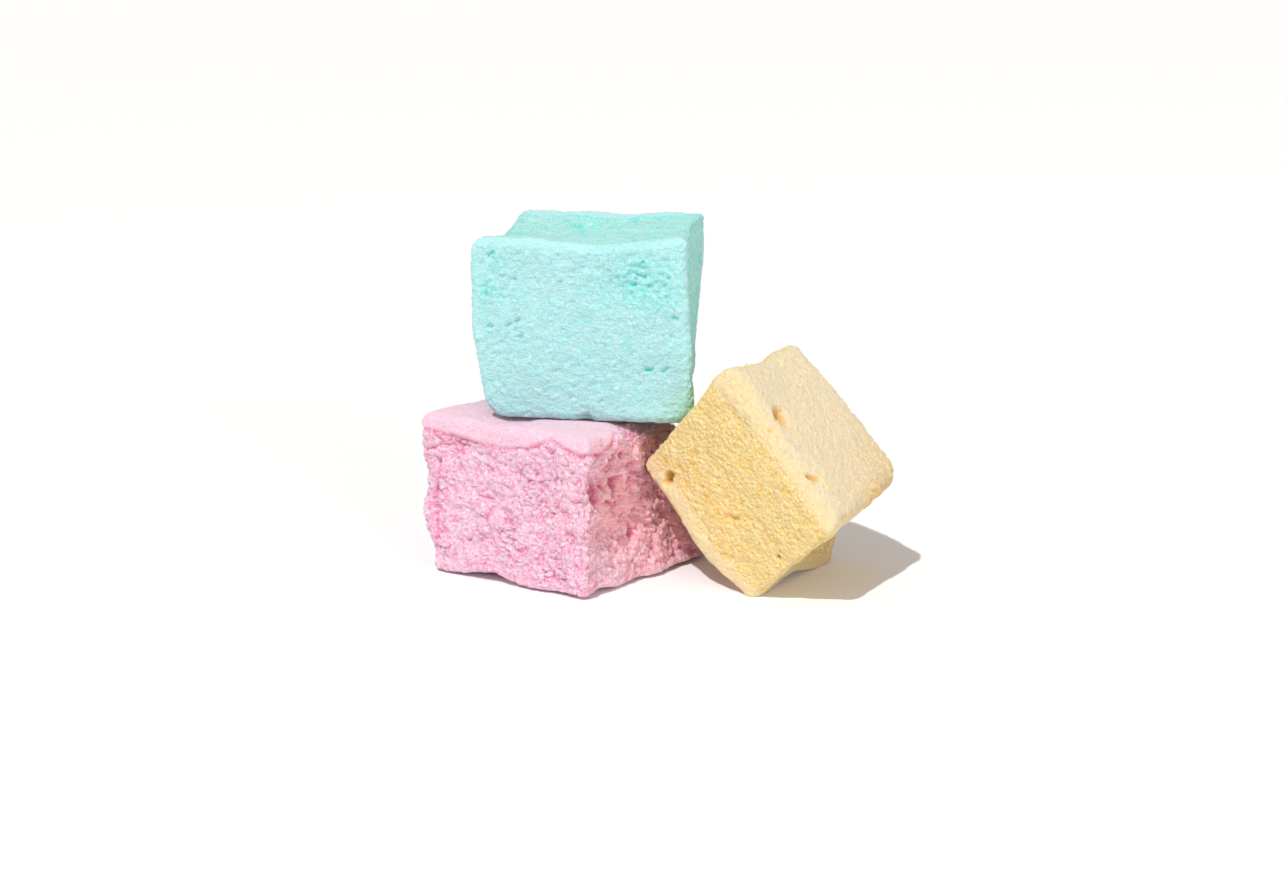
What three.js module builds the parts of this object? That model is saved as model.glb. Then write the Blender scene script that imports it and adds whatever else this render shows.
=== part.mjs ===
// A small heap of three cut marshmallows, in millimetres, with z up and the table at z = 0.
// The pink one stands on its lower skin, the mint one is stacked on it with its skins front and
// back, and the yellow one stands on an edge and leans on the pink one's side.
//
// Each marshmallow is a block cut from a slab. The slab's two powdered skins are the block's
// local -z and +z faces, and the four faces between them are cut walls: they bow inwards, they
// are torn into crags, and each skin folds over its rim and ends in a wavy lip on the wall.

import * as THREE from "three";
import { mergeVertices } from "three/addons/utils/BufferGeometryUtils.js";

const GRID = 19; // cells along each edge of a block
const EDGE_CROWDING = 0.45; // 0 spaces the cells evenly, more crowds them towards the edges
const LIP_WIDTH = 1.2; // how far down a wall a skin's lip takes to fade
const LIP_WAVE = 6; // size of the waves that a lip wanders in
const TORN = { from: 0.4, to: 0.6 }; // strength of a tear at which the skin starts and ends
const EDGE_STIFFNESS = 0.6; // share of a wall's bow that its upright edges resist
const CRAG = { lump: 4.2, drift: 7 }; // sizes of a wall's lumps and of the slow drift over them
const RIPPLE = { long: 9, short: 4 }; // sizes of a skin's two ripples
const GAP = 0.3; // left between two marshmallows that touch

// The planes that the marshmallows are pressed flat against: a point on each, and its normal.
const TABLE = { at: [0, 0, 0], normal: [0, 0, 1] };
const SEAT = { at: [2, 2, 28.1], normal: [0.01, 0, 1] };
const LEAN = { at: [18.8, -1.6, 22], normal: [0.84, -0.54, 0.04] };

// skins: the sharp corners of the lower and the upper skin from the block's middle, in the
// order -x-y, +x-y, +x+y, -x+y. corners: plan radius of the four upright edges, same order.
// waist: how far the walls -x, +x, -y and +y bow in. lips: how far each skin reaches down the
// wall, how much that wanders, and how deep the cut steps in below it. folds: [x, y, more
// reach, spread] lengthen or shorten a lip. tears: [x, y, z, spread, strength] of the places
// where a skin is torn off. crags and ripple: height of the relief on walls and skins.
// dents: [x, y, z, depth, spread]. pulls: [x, y, z, spread, move x, move y, move z].
const PINK = {
  name: "marshmallow_pink",
  colour: 0xf4b4d0,
  at: [0, 0, 14],
  turn: [0, 0, -32.9],
  turnOrder: "XYZ",
  skins: {
    lower: [[-16.8, -17.4, -13.5], [17.8, -18.4, -13.4], [19.8, 19.6, -13.3], [-17, 17.8, -13.5]],
    upper: [[-18.6, -18.2, 16], [17.8, -17, 15], [16.2, 14.8, 12.2], [-18, 16, 14.7]],
  },
  corners: [1.8, 1.4, 1.2, 3],
  rim: { lower: 0.9, upper: 2.4 },
  waist: [1, 1.8, 1.1, 1],
  lips: {
    lower: { reach: 1, wander: 0.6, step: 0.3 },
    upper: { reach: 2.7, wander: 0.4, step: 0.6 },
  },
  folds: {
    lower: [[-14, -16, 0.8, 4], [10, -16, 0.8, 4], [17, 4, 1, 3.5]],
    upper: [[-1, -17, 1.2, 6], [9.9, -17, -1.9, 2.4], [17.6, -5, -2.6, 5], [17, 6, -4, 7]],
  },
  tears: [
    [17.8, -11.5, 13, 3, 0.6],
    [17, 3.5, 14, 4, 1.2],
    [16.5, 9, 13.5, 6.5, 1.2],
    [15.5, 15, 13, 6, 1.2],
  ],
  crags: 0.8,
  ripple: 0.45,
  seed: 11,
  dents: [
    [0, 0, -14, -2.4, 12],
    [17, -13, 4, 1.2, 2],
    [17, -7, 5, 2.2, 1.8],
    [17.2, -5, 9, 1.4, 1.8],
    [16.8, -1, 12, 1, 2.2],
    [16.5, 4, 14, 1.4, 4],
    [16.5, 11, 13, 1.6, 5],
    [-5, -7, 14.5, 1.2, 7],
  ],
  pulls: [
    [-4, -16.5, -14, 5, 0, 0, 1.3],
    [-18, -17.5, -4, 4.5, -1.3, -1, 0],
    [-18, -17.5, 8, 6, -0.6, -0.5, 0],
    [18, 2, -13, 4, 0.9, 0, 0],
    [19.5, 13, -13.2, 6, 1.6, 0, 0.3],
    [17.8, -12.5, -13.5, 3, 0, 0, 0.7],
    [17, 16, 6, 6, 0.9, 0.3, 0],
  ],
};

const MINT = {
  name: "marshmallow_mint",
  colour: 0xa6efe1,
  at: [7.4, 10.1, 45.2],
  turn: [90.6, -1.3, -9.4],
  turnOrder: "ZYX",
  skins: {
    lower: [[-18.4, -16.9, -17.1], [14.8, -17.2, -17], [17.4, 17.2, -16.5], [-19.2, 17.2, -17]],
    upper: [[-19.1, -16.8, 16.6], [20, -17.5, 16.7], [19, 16.8, 17], [-21.2, 17.1, 17.3]],
  },
  corners: [4.6, 4.2, 1.8, 3],
  rim: { lower: 1.8, upper: 2 },
  waist: [3, 1.8, 0.6, 2],
  lips: {
    lower: { reach: 3.4, wander: 1, step: 0.2 },
    upper: { reach: 3.6, wander: 0.8, step: 0.3 },
  },
  folds: { lower: [], upper: [] },
  tears: [[17, 17, -16.5, 3.4, 1], [-18.5, 17, -16.5, 2.6, 1]],
  crags: 0.45,
  ripple: 0.35,
  seed: 23,
  dents: [
    [-2.8, 17, -7.8, 1.2, 2.2],
    [3, 17, 12, 0.6, 3],
    [8.5, 9, 17, 0.6, 4.5],
    [-0.9, -16.8, 16.6, 1, 1.6],
    [12, -7, 17, 0.7, 1.5],
    [18.3, 1, -6, 0.7, 3],
    [16.6, 17, -15.8, 1.1, 1.3],
    [13.5, 17, -16.8, 0.7, 1.1],
    [-17.5, 17, -16.5, 0.6, 1],
  ],
  pulls: [
    [-19.5, -2, 17, 11, -1.1, 0, 0],
    [3, 17, 17, 8, 0, -1.3, 0],
    [-19, 17, 5, 9, 1.1, -0.4, 0],
    [5, 17, -17, 9, 0, -0.9, 0],
    [17, 7, -17, 7, 0.5, 0, 0],
  ],
};

const YELLOW = {
  name: "marshmallow_yellow",
  colour: 0xf7dd9e,
  at: [38.9, -8.1, 19.4],
  turn: [1.1, 43.4, -32.9],
  turnOrder: "ZXY",
  skins: {
    lower: [[-15.6, -13.5, -12.8], [17.2, -14.8, -12.1], [18, 15.8, -12.5], [-18, 16, -12.8]],
    upper: [[-17.3, -13.8, 15.4], [19.3, -16.6, 12], [15, 14.5, 13], [-18.3, 15.5, 12.6]],
  },
  corners: [2.2, 2.2, 4.6, 2.6],
  rim: { lower: 1, upper: 4 },
  waist: [1, 2.2, 0.4, 1],
  lips: {
    lower: { reach: 1, wander: 0.4, step: 0.3 },
    upper: { reach: 1.2, wander: 0.4, step: 0.2 },
  },
  folds: { lower: [], upper: [[-15, -13, 2, 9]] },
  tears: [],
  crags: 0.45,
  ripple: 0.3,
  seed: 37,
  dents: [
    [-5.6, -9.1, 12.8, 1.9, 1.6],
    [7.5, -11.8, 12.2, 1.1, 1.5],
    [-11, -14.9, -10, 1.6, 1.3],
  ],
  pulls: [
    [4, -14, -12, 9, 0, 0, -1.9],
    [17.5, -2, -12, 8, -1.6, 0, 2.2],
    [17, 13, -1, 7.5, -3.3, 0, 0],
    [-17, 3, -12.5, 8, -0.9, 0, -0.8],
    [-3, 14, 12, 10, 0, 1.2, 0],
    [-18, 1, 12, 6, 0.9, 0, -0.9],
  ],
};

const smoothstep = (from, to, x) => THREE.MathUtils.smoothstep(x, from, to);
const bell = (distance, spread) => Math.exp(-((distance / spread) ** 2));

// A repeatable number from 0 to 1 for a cell of a whole-number grid.
function cellValue(x, y, z, seed) {
  let h = Math.imul(x, 0x9e3779b1) ^ Math.imul(y, 0x85ebca77) ^ Math.imul(z, 0xc2b2ae3d);
  h = Math.imul(h ^ Math.imul(seed, 0x27d4eb2f) ^ (h >>> 15), 0x2c1b3c6d);
  h = Math.imul(h ^ (h >>> 12), 0x297a2d39);
  return ((h ^ (h >>> 15)) >>> 0) / 2 ** 32;
}

// Smooth noise from -1 to 1 with bumps about one size across.
function softNoise(p, size, seed) {
  const q = p.clone().divideScalar(size);
  const cell = q.clone().floor();
  const f = q.sub(cell);
  let sum = 0;
  for (const i of [0, 1])
    for (const j of [0, 1])
      for (const k of [0, 1]) {
        const x = smoothstep(0, 1, i ? f.x : 1 - f.x);
        const y = smoothstep(0, 1, j ? f.y : 1 - f.y);
        const z = smoothstep(0, 1, k ? f.z : 1 - f.z);
        sum += x * y * z * cellValue(cell.x + i, cell.y + j, cell.z + k, seed);
      }
  return 2 * sum - 1;
}

// Domes about one size across that meet in creases: 1 at a dome's top, about -1 in a crease.
function lumps(p, size, seed) {
  const q = p.clone().divideScalar(size);
  const cell = q.clone().floor();
  const near = new THREE.Vector3();
  let nearest = Infinity;
  for (let x = cell.x - 1; x <= cell.x + 1; x++)
    for (let y = cell.y - 1; y <= cell.y + 1; y++)
      for (let z = cell.z - 1; z <= cell.z + 1; z++) {
        near.set(x, y, z);
        near.x += cellValue(x, y, z, seed);
        near.y += cellValue(x, y, z, seed + 1);
        near.z += cellValue(x, y, z, seed + 2);
        nearest = Math.min(nearest, near.distanceToSquared(q));
      }
  return 1 - 2.4 * nearest;
}

// Rounds a point of the sharp block: first the four upright edges, in plan, and then the rims.
// Returns the rounded point, its outward normal, and how much it faces sideways, from 0 to 1.
function rounded(sharp, half, marshmallow) {
  const quadrant = sharp.y < 0 ? (sharp.x < 0 ? 0 : 1) : sharp.x < 0 ? 3 : 2;
  const radius = marshmallow.corners[quadrant];
  const core = new THREE.Vector2(
    THREE.MathUtils.clamp(sharp.x, radius - half.x, half.x - radius),
    THREE.MathUtils.clamp(sharp.y, radius - half.y, half.y - radius),
  );
  const out = new THREE.Vector2(sharp.x - core.x, sharp.y - core.y);
  const ring = Math.max(Math.abs(out.x), Math.abs(out.y));
  if (ring > 0) out.setLength(ring);
  const plan = core.clone().add(out);

  // How far inside the wall the point is, and which way that wall faces.
  const side = new THREE.Vector2();
  let inset = radius - ring;
  if (ring > 0) side.copy(out).normalize();
  else {
    const fromX = half.x - Math.abs(plan.x);
    const fromY = half.y - Math.abs(plan.y);
    inset = Math.min(fromX, fromY);
    if (fromX < fromY) side.set(Math.sign(plan.x), 0);
    else side.set(0, Math.sign(plan.y));
  }

  const up = Math.sign(sharp.z) || 1;
  const rim = up > 0 ? marshmallow.rim.upper : marshmallow.rim.lower;
  const across = Math.max(rim - inset, 0) / rim;
  const along = Math.max(rim - (half.z - Math.abs(sharp.z)), 0) / rim;
  const reach = Math.hypot(across, along);
  const normal = new THREE.Vector3();
  let height = sharp.z;
  let sideways = across;
  if (across > 0 && along > 0) {
    sideways = across / reach;
    plan.addScaledVector(side, rim * (sideways - across));
    height += up * rim * (along / reach - along);
    normal.set(side.x * sideways, side.y * sideways, (up * along) / reach);
  } else if (along > 0) normal.set(0, 0, up);
  else normal.set(side.x, side.y, 0);
  return { point: new THREE.Vector3(plan.x, plan.y, height), normal, sideways };
}

// How far below its skin's plane the lip of a skin ends, at this place on the wall.
function lipReach(p, lip, folds, seed) {
  let reach = lip.reach + lip.wander * softNoise(p, LIP_WAVE, seed);
  for (const [x, y, more, spread] of folds)
    reach += more * bell(Math.hypot(p.x - x, p.y - y), spread);
  return reach;
}

// Height of the surface above the rounded block, along its normal.
function relief(p, normal, sideways, half, marshmallow) {
  const { lips, folds, waist, seed } = marshmallow;
  const away = new THREE.Vector3();
  const belowUpper = half.z - p.z - lipReach(p, lips.upper, folds.upper, seed);
  const aboveLower = half.z + p.z - lipReach(p, lips.lower, folds.lower, seed + 5);
  const upperCut = smoothstep(0, LIP_WIDTH, belowUpper);
  const lowerCut = smoothstep(0, LIP_WIDTH, aboveLower);
  let tear = 0;
  for (const [x, y, z, spread, strength] of marshmallow.tears)
    tear += strength * bell(away.set(x, y, z).distanceTo(p), spread);
  const cut = Math.max(sideways * upperCut * lowerCut, smoothstep(TORN.from, TORN.to, tear));

  const [left, right, front, back] = waist;
  const bow =
    normal.x ** 2 * (normal.x < 0 ? left : right) + normal.y ** 2 * (normal.y < 0 ? front : back);
  const step = p.z > 0 ? lips.upper.step : lips.lower.step;
  const middling = 1 - (p.z / half.z) ** 2;
  const edging = EDGE_STIFFNESS * (p.x / half.x) ** 4 * (p.y / half.y) ** 4;
  let height = -cut * step - sideways * bow * middling * (1 - edging);

  const crag = 0.7 * lumps(p, CRAG.lump, seed + 10) + 0.3 * softNoise(p, CRAG.drift, seed + 20);
  const longRipple = 0.6 * softNoise(p, RIPPLE.long, seed + 30);
  const ripple = longRipple + 0.5 * softNoise(p, RIPPLE.short, seed + 40);
  height += marshmallow.crags * cut * crag + marshmallow.ripple * (1 - cut) * ripple;

  for (const [x, y, z, depth, spread] of marshmallow.dents)
    height -= depth * bell(away.set(x, y, z).distanceTo(p), spread);
  return height;
}

// Carries a point of the regular block to the uneven one, whose corners are the skins' corners.
function slumped(p, half, skins) {
  const u = (p.x / half.x + 1) / 2;
  const v = (p.y / half.y + 1) / 2;
  const w = (p.z / half.z + 1) / 2;
  const weights = [(1 - u) * (1 - v), u * (1 - v), u * v, (1 - u) * v];
  const moved = new THREE.Vector3();
  weights.forEach((weight, i) => {
    moved.addScaledVector(new THREE.Vector3(...skins.lower[i]), weight * (1 - w));
    moved.addScaledVector(new THREE.Vector3(...skins.upper[i]), weight * w);
  });
  return moved;
}

// Half the length, width and thickness of a marshmallow, as the mean of its corners.
function halfSize({ lower, upper }) {
  const half = new THREE.Vector3();
  for (const [x, y, z] of [...lower, ...upper])
    half.add(new THREE.Vector3(Math.abs(x), Math.abs(y), Math.abs(z)).divideScalar(8));
  return half;
}

// Moves a point that is under a plane's surface out to it, with clear to spare. A negative clear
// lets the point stay that far under it.
function keepOff(point, plane, sense, clear) {
  const normal = new THREE.Vector3(...plane.normal).normalize().multiplyScalar(sense);
  const offset = new THREE.Vector3(...plane.at).negate().add(point).dot(normal);
  if (offset < clear) point.addScaledVector(normal, clear - offset);
}

// One marshmallow: a gridded box, rounded, roughened, slumped, placed and pressed on its rests.
// Each rest is [plane, which side of it the marshmallow is on, clearance, how far each point may
// stay under it all the same].
function makeMarshmallow(marshmallow, rests) {
  const half = halfSize(marshmallow.skins);
  const box = new THREE.BoxGeometry(2, 2, 2, GRID, GRID, GRID);
  box.deleteAttribute("normal");
  box.deleteAttribute("uv");
  const geometry = mergeVertices(box);
  const position = geometry.getAttribute("position");

  const turn = new THREE.Euler(
    ...marshmallow.turn.map(THREE.MathUtils.degToRad),
    marshmallow.turnOrder,
  );
  const place = new THREE.Matrix4().makeRotationFromEuler(turn).setPosition(...marshmallow.at);
  const crowd = (t) => (1 - EDGE_CROWDING) * t + EDGE_CROWDING * Math.sin((Math.PI / 2) * t);
  const point = new THREE.Vector3();
  const handle = new THREE.Vector3();
  for (let i = 0; i < position.count; i++) {
    point.fromBufferAttribute(position, i);
    point.set(crowd(point.x), crowd(point.y), crowd(point.z)).multiply(half);
    const { point: smooth, normal, sideways } = rounded(point, half, marshmallow);
    smooth.addScaledVector(normal, relief(smooth, normal, sideways, half, marshmallow));
    const moved = slumped(smooth, half, marshmallow.skins);
    for (const [x, y, z, spread, ...move] of marshmallow.pulls) {
      const grip = bell(handle.set(x, y, z).distanceTo(smooth), spread);
      moved.addScaledVector(handle.set(...move), grip);
    }
    moved.applyMatrix4(place);
    for (const [plane, sense, clear, ease] of rests)
      keepOff(moved, plane, sense, clear - ease(moved));
    position.setXYZ(i, moved.x, moved.y, moved.z);
  }
  geometry.computeVertexNormals();

  const material = new THREE.MeshStandardMaterial({
    color: marshmallow.colour,
    roughness: 0.95,
    metalness: 0,
  });
  const mesh = new THREE.Mesh(geometry, material);
  mesh.name = marshmallow.name;
  return mesh;
}

const FREE = 99; // more than any point could be under a plane
const everywhere = () => 0;

// Nothing beside the yellow marshmallow's edge, and more the further a point is from it.
function besideYellow(p) {
  const edge = { height: 22, halfWidth: 2, near: -4, left: 8, curve: 3 };
  const above = Math.max(Math.abs(p.z - edge.height) - edge.halfWidth, 0);
  const before = Math.max(edge.near - p.y, 0);
  return p.x > edge.left ? (above ** 2 + before ** 2) / edge.curve : FREE;
}

// Nothing under the mint marshmallow, and more the further a point is from its foot.
function underMint(p) {
  const foot = { half: [15.5, 15], low: 20, curve: 8 };
  const turn = THREE.MathUtils.degToRad(-MINT.turn[2]);
  const [c, s] = [Math.cos(turn), Math.sin(turn)];
  const [x, y] = [p.x - MINT.at[0], p.y - MINT.at[1]];
  const aside = Math.max(Math.abs(x * c - y * s) - foot.half[0], 0);
  const ahead = Math.max(Math.abs(x * s + y * c) - foot.half[1], 0);
  return p.z > foot.low ? (aside ** 2 + ahead ** 2) / foot.curve : FREE;
}

const heap = new THREE.Group();
heap.name = "marshmallows";
heap.add(
  makeMarshmallow(PINK, [
    [TABLE, 1, 0, everywhere],
    [SEAT, -1, GAP / 2, underMint],
    [LEAN, -1, GAP / 2, besideYellow],
  ]),
  makeMarshmallow(MINT, [[SEAT, 1, GAP / 2, everywhere]]),
  makeMarshmallow(YELLOW, [
    [TABLE, 1, 0, everywhere],
    [LEAN, 1, GAP / 2, everywhere],
  ]),
);

export default heap;
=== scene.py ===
"""A small heap of three cut marshmallows: a pink one, a mint one stacked on it and a yellow one
that leans on the pink one's side.

Each is a block cut from a slab. The slab's two powdered skins are the block's local -z and +z
faces. The four faces between them are cut walls, which bow inwards and are torn into crags, and
each skin folds over its rim and ends in a wavy lip on the wall. Shapes are worked out in
millimetres and put into the scene in metres.
"""

import math

import bpy
import numpy as np
from bpy.props import FloatProperty, FloatVectorProperty, IntProperty, PointerProperty
from mathutils import Euler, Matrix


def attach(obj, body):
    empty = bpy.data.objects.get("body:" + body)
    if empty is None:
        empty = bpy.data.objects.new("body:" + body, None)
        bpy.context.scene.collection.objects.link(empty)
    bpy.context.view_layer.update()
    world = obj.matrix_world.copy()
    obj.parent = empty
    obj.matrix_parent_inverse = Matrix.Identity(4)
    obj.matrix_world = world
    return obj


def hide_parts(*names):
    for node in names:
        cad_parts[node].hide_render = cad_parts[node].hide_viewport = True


bl_info = {
    "name": "Marshmallow heap",
    "version": (1, 0, 0),
    "blender": (4, 5, 0),
    "location": "3D View > Sidebar > Marshmallows",
    "description": "Builds three cut cube marshmallows, and a plain table and light for them",
    "category": "Add Mesh",
}

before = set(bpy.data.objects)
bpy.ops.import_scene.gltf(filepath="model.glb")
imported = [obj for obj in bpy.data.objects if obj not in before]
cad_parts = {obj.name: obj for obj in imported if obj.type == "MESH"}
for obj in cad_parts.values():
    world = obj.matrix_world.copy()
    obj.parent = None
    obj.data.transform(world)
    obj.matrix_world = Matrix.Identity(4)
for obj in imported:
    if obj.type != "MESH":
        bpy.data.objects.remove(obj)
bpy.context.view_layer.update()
MM = 0.001

# ---------------------------------------------------------------- shape of the three blocks

EDGE_CROWDING = 0.2  # 0 spaces the mesh evenly, more crowds it towards the edges
EDGE_STIFFNESS = 0.6  # share of a wall's bow that its upright edges resist
GAP = 0.3  # left between two marshmallows that touch

# Sizes of the patterns that the relief is made of.
LIP_WAVE = 6  # waves that a lip wanders in
FRAY = (2.3, 1.1)  # coarse and fine fraying of the lips
CRAG = (4.2, 7)  # crags on the walls, and a slower swelling mixed into them
RIPPLE = (9, 4)  # long and short ripples on the skins
STRAY = 2.6  # waves that keep crumbs and lines from looking regular
CRACKED = 5  # areas that have cracks, between others that have none
PITTED = 2.6  # areas that have pits, between others that have none
WORN_PITS = 1.1  # pits of a worn skin
RIM_WAVE = 3  # waves of the line where a skin starts to turn over its rim

RIM_FADE = (3.6, 0.6)  # from this far inside an upright wall to this far, a skin turns into rim
BEAD = (-0.4, 0.6)  # the rolled bead along a lip: how far below the lip, and how wide
BEAD_GROOVE = (0.45, 0.35)  # the groove under it, the same way
# Painted shade: grooves narrower than this get the crease colour inside.
HAIRLINE = 0.9  # a groove narrower than this is dark inside
PORE_MARGIN = 0.86  # share of a skin, from its middle, that has pores
MOST_WORN = 1.2

# The planes that the marshmallows are pressed flat against: a point on each, and its normal.
TABLE = ((0, 0, 0), (0, 0, 1))
SEAT = ((2, 2, 28.1), (0.01, 0, 1))
LEAN = ((18.8, -1.6, 22), (0.84, -0.54, 0.04))

# What is set for each marshmallow. Its own axes start at its middle, and z goes from the lower
# skin to the upper one.
#
# at, turn, turn_order: where its middle is on the table, and how it is turned, in degrees.
# lower, upper: the corners of the two skins, anticlockwise from -x, -y.
# corners: the radius of each upright edge. rims: the radius of the lower and of the upper rim.
# waist: how far the walls -x, +x, -y and +y bow in.
# lower_lip, upper_lip: how far the skin reaches over the wall, how much that wanders, and the
# step down to the wall. lower_folds, upper_folds: x, y, how much further it reaches, spread.
# lip_width: how far a lip takes to fade into the wall.
# rim_grain: how much more grain the upper rim has than the skin.
# hem: how much of the wall's texture the lower rim has.
# crags, ripple: height of the relief on the walls and on the skins.
# rugged, flush, tears, worn: x, y, z, spread and strength of the places with
# higher crags and crumbs (which also get painted shade in their hollows), painted bounce light
# and shade, a skin that is torn off, and a rough skin.
# dents: x, y, z, depth, spread. holes: the same, and how far drawn out along x, y and z.
# pulls: x, y, z, spread, and how far the place is moved along x, y and z.
# grooves: two ends, depth, width.
# crumbs, grain: size and height of the bumps on the walls and on the skins.
# bend: how far the crumbs stray from regular domes.
# cracks: size of what they part, depth, width, and how rare they are.
# wrinkles: height, angle, width and length of those in the skins.
# pits: size, depth, and how rare they are. bead: height of the bead along each lip.
# pores: number on each skin, size of the smallest and of the largest, depth of the largest.


class Pink:
    """The lowest marshmallow, on its lower skin, with torn walls at its front left and right."""

    name = "marshmallow_pink"
    slot = "pink_marshmallow"
    at = (0, 0, 14)
    turn = (0, 0, -32.9)
    turn_order = "XYZ"
    lower = [(-16.8, -17.4, -13.5), (17.8, -18.4, -13.4), (19.8, 19.6, -13.3), (-17, 17.8, -13.5)]
    upper = [(-18.6, -18.2, 16), (17.8, -17, 15), (16.2, 14.8, 12.2), (-18, 16, 14.7)]
    corners = (1.8, 1.4, 1.2, 3)
    rims = (0.9, 2.4)
    waist = (1, 1.8, 1.1, 1)
    lower_lip = (1.0, 0.6, 0.15)
    upper_lip = (2.7, 0.4, 0.35)
    lower_folds = [(-14, -16, 0.8, 4), (10, -16, 0.8, 4), (17, 4, 1, 3.5)]
    upper_folds = [(-1, -17, 1.2, 6), (9.9, -17, -1.9, 2.4), (17.6, -5, -2.6, 5), (17, 6, -4, 7)]
    lip_width = 0.7
    rim_grain = -0.3
    hem = 0.75
    crags = 0.5
    rugged = [(17.5, -6, 4, 11, 1.2), (18, 6, -6, 8, 0.6)]
    ripple = 0.45
    seed = 11
    dents = [
        (0, 0, -14, -2.4, 12),
        (17, -10, 6, 1.3, 2.4),
        (17.2, -5.5, 8, 1, 2.2),
        (16.8, -1, 12, 1, 2.2),
        (16.5, 4, 14, 1.4, 4),
        (16.5, 11, 13, 1.6, 5),
        (-5, -7, 14.5, 1.7, 7),
    ]
    # Painted reddish bounce light in the shade of the right wall and of the torn corner under the
    # mint one.
    flush = [(18, 8, -7, 12, 1), (17, 8, 11, 8, 1), (17.8, -7, 2, 8, 0.7)]
    pulls = [
        (-4, -16.5, -14, 5, 0, 0, 1.3),
        (-18, -17.5, -4, 4.5, -1.3, -1, 0),
        (-18, -17.5, 8, 6, -0.6, -0.5, 0),
        (18, 2, -13, 4, 0.9, 0, 0),
        (19.5, 13, -13.2, 6, 1.6, 0, 0.3),
        (17.8, -12.5, -13.5, 3, 0, 0, 0.7),
        (17, 16, 6, 6, 0.9, 0.3, 0),
    ]
    crumbs = [(2.6, 0.15), (1.3, 0.3), (0.8, 0.18)]
    cracks = [(3.4, 0.5, 0.11, 0.05), (1.6, 0.4, 0.12, -0.1)]
    bend = 0.4
    grain = [(2.4, 0.09), (1.0, 0.05)]
    wrinkles = None
    pits = (1.3, 0.1, 0.2)
    pores = (4, 0.25, 0.4, 0.4)
    bead = 0.14
    holes = [
        (17.6, -4.2, 9.5, 1.6, 0.75, 0, 0.2, 0),
        (17.4, -6.6, 3.8, 2.8, 1.3, 0, 0, 0.6),
        (17.4, -13.3, 3.4, 1.6, 1.4, 0, 0, 0.7),
        (17.6, -7.3, 8.8, 1.4, 0.8, 0, 0.4, 0.3),
        (17.6, -9.7, 5.8, -0.9, 1.3, 0, 0, 0.5),
        (17.6, -4.6, 6.3, -0.7, 1.1, 0, 0, 0.4),
        (17.6, -2.5, -5.3, 0.9, 0.6, 0, 0, 0.6),
        (-3.9, -17.1, 5.6, 0.5, 0.35, 0.5, 0, -0.2),
        (15.3, 0.6, 14.4, 0.8, 0.7, 0.6, 0, 0),
    ]
    grooves = [((-15.2, -17.3, 0.5), (-15.4, -17.3, -8.5), 0.9, 0.4)]
    tears = [
        (17.8, -11.5, 13, 3, 0.6),
        (17, 3.5, 14, 4, 1.2),
        (16.5, 9, 13.5, 6.5, 1.2),
        (15.5, 15, 13, 6, 1.2),
    ]
    worn = []


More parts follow.
